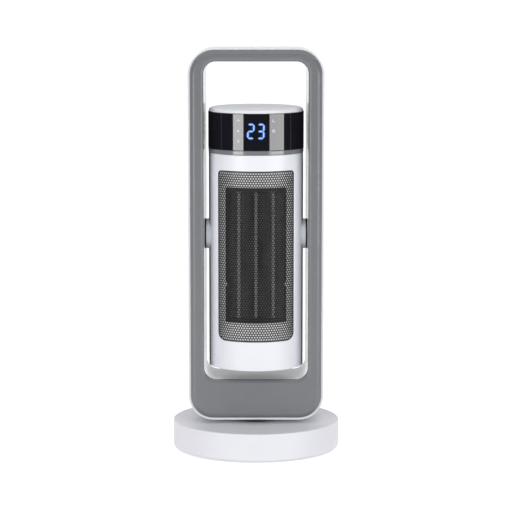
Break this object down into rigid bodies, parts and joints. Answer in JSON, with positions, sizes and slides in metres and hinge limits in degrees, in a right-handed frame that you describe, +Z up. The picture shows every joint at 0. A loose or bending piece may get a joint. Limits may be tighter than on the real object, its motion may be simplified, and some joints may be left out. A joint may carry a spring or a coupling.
{
  "type": "ceramic tower heater",
  "caption": "Free-standing ceramic tower heater: a round tower tilts in an upright ring frame with a handle gap, which swings on a round base.",
  "frame": {"origin": "centre of the round base on the floor", "axes": "+Z up, -Y the front that blows the air, +X to the viewer's right when facing the front"},
  "size_m": [0.228, 0.228, 0.55],
  "materials": {
    "white_shell": "semi-gloss white moulded ABS",
    "white_base": "satin white moulded ABS",
    "grey_trim": "satin grey painted bezel",
    "grey_shell": "fine-textured grey moulding",
    "black_gloss": "polished smoked-black acrylic",
    "black_plastic": "plain moulded black",
    "black_mesh": "perforated steel sheet, dark powder coat",
    "silver_ring": "vacuum-metallised smoked silver",
    "zinc_steel": "bright zinc plate",
    "aluminium": "bare fins, brazed",
    "soft_rubber": "plain moulded",
    "nylon": "natural nylon",
    "circuit_board": "green solder mask"
  },
  "bodies": {
    "base": {"base_cover": "white_base", "base_plate": "black_plastic", "foot_ring": "soft_rubber", "base_weight": "zinc_steel", "tip_switch_body": "black_plastic", "tip_spring": "zinc_steel", "mains_switch_body": "black_plastic", "cord_gland": "soft_rubber", "swing_motor": "zinc_steel", "thrust_ring": "nylon", "base_wiring": "soft_rubber"},
    "switch_rocker": {"mains_switch_rocker": "black_plastic"},
    "tip_plunger_body": {"tip_plunger": "nylon"},
    "pinion": {"swing_pinion": "nylon"},
    "frame": {"swivel_hub": "black_plastic", "neck_collar": "black_plastic", "swing_gear": "nylon", "hub_retainer": "zinc_steel", "frame_front_shell": "white_shell", "frame_rear_shell": "white_shell", "frame_trim": "grey_trim", "frame_wiring": "soft_rubber", "frame_screw_low_left": "zinc_steel", "frame_screw_high_left": "zinc_steel", "frame_screw_low_right": "zinc_steel", "frame_screw_high_right": "zinc_steel", "pivot_bush_left": "nylon", "pivot_bush_right": "nylon", "friction_washer_left": "soft_rubber", "friction_washer_right": "soft_rubber", "pivot_nut_left": "zinc_steel", "pivot_nut_right": "zinc_steel"},
    "tower": {"front_housing": "white_shell", "rear_housing": "grey_shell", "intake_grille": "grey_shell", "outlet_grille": "black_mesh", "outlet_baffle": "white_shell", "heater_frame": "black_plastic", "heater_bars": "aluminium", "heater_fins": "aluminium", "thermal_cutout": "zinc_steel", "blower_scroll": "black_plastic", "blower_motor": "zinc_steel", "blower_bearing": "zinc_steel", "bottom_cap": "grey_shell", "control_board": "circuit_board", "electronics_deck": "black_plastic", "display_module": "circuit_board", "icon_light_guide": "nylon", "silver_ring": "silver_ring", "display_band": "black_gloss", "top_cap": "white_shell", "tower_wiring": "soft_rubber", "trunnion_left": "white_shell", "trunnion_right": "white_shell", "trunnion_nut_left": "zinc_steel", "trunnion_nut_right": "zinc_steel"},
    "blower": {"blower_wheel": "black_plastic", "blower_shaft": "zinc_steel"}
  },
  "joints": [
    {"name": "swing", "type": "hinge", "parent": "base", "child": "frame", "pos_m": [0, 0, 0.04], "axis": [0, 0, 1], "range_deg": [-35, 35]},
    {"name": "tilt", "type": "hinge", "parent": "frame", "child": "tower", "pos_m": [0, 0, 0.2968], "axis": [-1, 0, 0], "range_deg": [-10, 30]},
    {"name": "blower_spin", "type": "hinge", "parent": "tower", "child": "blower", "pos_m": [0, 0.014, 0.176], "axis": [0, 0, 1], "continuous": true},
    {"name": "pinion_spin", "type": "hinge", "parent": "base", "child": "pinion", "pos_m": [0.036, 0, 0.029], "axis": [0, 0, 1], "range_deg": [-105, 105]},
    {"name": "mains_switch_tilt", "type": "hinge", "parent": "base", "child": "switch_rocker", "pos_m": [0.028, 0.104, 0.021], "axis": [-1, 0, 0], "range_deg": [0, 16]},
    {"name": "tip_plunger_slide", "type": "slide", "parent": "base", "child": "tip_plunger_body", "axis": [0, 0, -1], "range_m": [0, 0.005], "stiffness_N_per_m": 120, "springref_m": 0.009, "deforming": ["tip_spring"]}
  ],
  "couplings": [
    {"joint": "pinion_spin", "follows": "swing", "ratio": -3}
  ]
}
